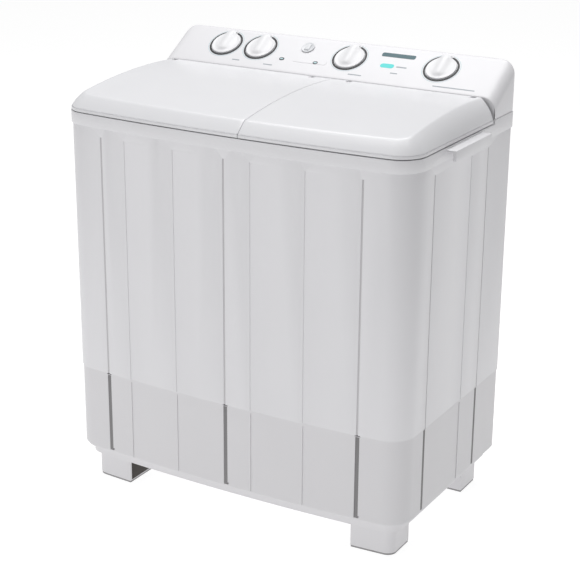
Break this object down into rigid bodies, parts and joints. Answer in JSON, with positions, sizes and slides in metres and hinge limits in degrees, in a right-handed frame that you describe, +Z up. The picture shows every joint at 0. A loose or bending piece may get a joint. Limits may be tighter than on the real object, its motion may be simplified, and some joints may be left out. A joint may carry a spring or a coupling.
{
  "type": "twin tub washer",
  "caption": "White top-loading twin tub washer: wash tub with pulsator, spin basket, bowed cabinet on a footed base, sloped console with turning knobs and rear-hinged lids.",
  "frame": {"origin": "on the floor, under the middle of the machine's box", "axes": "+Z up, +X to the right seen from the front, the front faces -Y"},
  "size_m": [0.904, 0.52, 1.0144],
  "materials": {
    "white_shell": "white moulded shell, soft gloss",
    "lid_white": "bright white lid plastic, gloss",
    "skirt_white": "off-white base plastic, satin",
    "knob_white": "white knob plastic, gloss",
    "dial_dark": "dark charcoal ring, gloss",
    "selector_grey": "pale grey thumb disc",
    "pad_rubber": "grey rubber",
    "screw_steel": "plain steel",
    "switch_plastic": "ivory plastic",
    "tub_plastic": "pale blue-white polypropylene",
    "pulsator_blue": "blue polypropylene",
    "gear_cast": "grey cast housing",
    "motor_paint": "grey-blue painted steel",
    "plate_zinc": "zinc-plated sheet steel",
    "basket_steel": "stainless sheet",
    "ring_plastic": "white polypropylene",
    "pipe_black": "dark plastic",
    "capacitor_can": "aluminium can"
  },
  "bodies": {
    "machine": {"cabinet": "white_shell", "base_skirt": "skirt_white", "base_tray": "skirt_white", "foot_pads": "pad_rubber", "top_frame": "white_shell", "rear_cover": "white_shell", "rear_cover_screws": "screw_steel", "control_console": "white_shell", "dial_rings": "dial_dark", "wash_timer": "switch_plastic", "wash_mode_switch": "switch_plastic", "drain_shaft_bush": "switch_plastic", "spin_timer": "switch_plastic", "inlet_chute": "tub_plastic", "inlet_fitting": "tub_plastic", "lid_hinge_pins": "screw_steel", "tub_moulding": "tub_plastic", "lint_filter": "tub_plastic", "overflow_grille": "tub_plastic", "gearbox": "gear_cast", "drive_belt": "pad_rubber", "wash_motor": "motor_paint", "motor_bracket": "plate_zinc", "bellows_seal": "pad_rubber", "spin_motor": "motor_paint", "spin_motor_plate": "plate_zinc", "suspension_springs": "screw_steel", "brake_pivot_pin": "screw_steel", "drain_valve_body": "tub_plastic", "drain_outlet_pipe": "pipe_black", "run_capacitor": "capacitor_can", "mains_gland": "pipe_black"},
    "wash_lid": {"wash_lid": "lid_white"},
    "spin_lid": {"spin_lid": "lid_white"},
    "wash_timer_dial": {"wash_timer_knob": "knob_white", "wash_timer_shaft": "screw_steel"},
    "wash_mode_dial": {"wash_mode_knob": "knob_white", "wash_mode_shaft": "screw_steel"},
    "drain_dial": {"drain_knob": "knob_white", "drain_crank_shaft": "screw_steel"},
    "spin_timer_dial": {"spin_timer_knob": "knob_white", "spin_timer_shaft": "screw_steel"},
    "inlet_slider": {"inlet_selector": "selector_grey"},
    "drain_valve": {"drain_valve_plug": "pad_rubber", "drain_pull_strap": "tub_plastic"},
    "agitator": {"pulsator": "pulsator_blue", "pulsator_screw": "screw_steel", "gearbox_output_shaft": "screw_steel"},
    "reduction_input": {"driven_pulley": "gear_cast", "gearbox_input_shaft": "screw_steel"},
    "wash_rotor": {"wash_motor_shaft": "screw_steel", "motor_pulley": "gear_cast"},
    "spinner": {"spin_basket": "basket_steel", "basket_press_plate": "ring_plastic", "basket_balance_ring": "ring_plastic", "spin_shaft": "screw_steel", "brake_drum": "gear_cast"},
    "brake_arm": {"brake_lever": "plate_zinc"}
  },
  "joints": [
    {"name": "wash_lid_hinge", "type": "hinge", "parent": "machine", "child": "wash_lid", "pos_m": [-0.17625, 0.131, 0.92741], "axis": [-1, 0, 0], "range_deg": [0, 95]},
    {"name": "spin_lid_hinge", "type": "hinge", "parent": "machine", "child": "spin_lid", "pos_m": [0.23325, 0.131, 0.92741], "axis": [-1, 0, 0], "range_deg": [0, 95]},
    {"name": "wash_timer_turn", "type": "hinge", "parent": "machine", "child": "wash_timer_dial", "pos_m": [-0.287, 0.205, 0.97496], "axis": [0, 0.5255, -0.8508], "range_deg": [0, 300]},
    {"name": "wash_mode_turn", "type": "hinge", "parent": "machine", "child": "wash_mode_dial", "pos_m": [-0.192, 0.205, 0.97496], "axis": [0, 0.5255, -0.8508], "range_deg": [-60, 60]},
    {"name": "drain_turn", "type": "hinge", "parent": "machine", "child": "drain_dial", "pos_m": [0.0435, 0.205, 0.97496], "axis": [0, 0.5255, -0.8508], "range_deg": [0, 90]},
    {"name": "spin_timer_turn", "type": "hinge", "parent": "machine", "child": "spin_timer_dial", "pos_m": [0.2715, 0.205, 0.97496], "axis": [0, 0.5255, -0.8508], "range_deg": [0, 300]},
    {"name": "inlet_selector_slide", "type": "slide", "parent": "machine", "child": "inlet_slider", "axis": [1, 0, 0], "range_m": [-0.015, 0.015]},
    {"name": "drain_valve_lift", "type": "slide", "parent": "machine", "child": "drain_valve", "axis": [0, 0, 1], "range_m": [0, 0.012]},
    {"name": "pulsator_spin", "type": "hinge", "parent": "machine", "child": "agitator", "pos_m": [-0.1855, -0.055, 0.462], "axis": [0, 0, 1], "continuous": true},
    {"name": "driven_pulley_spin", "type": "hinge", "parent": "machine", "child": "reduction_input", "pos_m": [-0.1855, -0.055, 0.325], "axis": [0, 0, 1], "continuous": true},
    {"name": "wash_motor_spin", "type": "hinge", "parent": "machine", "child": "wash_rotor", "pos_m": [-0.1855, 0.133, 0.325], "axis": [0, 0, 1], "continuous": true},
    {"name": "spin_basket_spin", "type": "hinge", "parent": "machine", "child": "spinner", "pos_m": [0.222, -0.055, 0.432], "axis": [0, 0, 1], "continuous": true},
    {"name": "brake_arm_turn", "type": "hinge", "parent": "machine", "child": "brake_arm", "pos_m": [0.182, 0.017, 0.266], "axis": [0, 0, -1], "range_deg": [0, 3.4]}
  ],
  "couplings": [
    {"joint": "drain_valve_lift", "follows": "drain_turn", "m_per_rad": 0.007639},
    {"joint": "driven_pulley_spin", "follows": "pulsator_spin", "ratio": 4.4},
    {"joint": "wash_motor_spin", "follows": "pulsator_spin", "ratio": 21.096},
    {"joint": "brake_arm_turn", "follows": "spin_lid_hinge", "ratio": 0.035789}
  ]
}
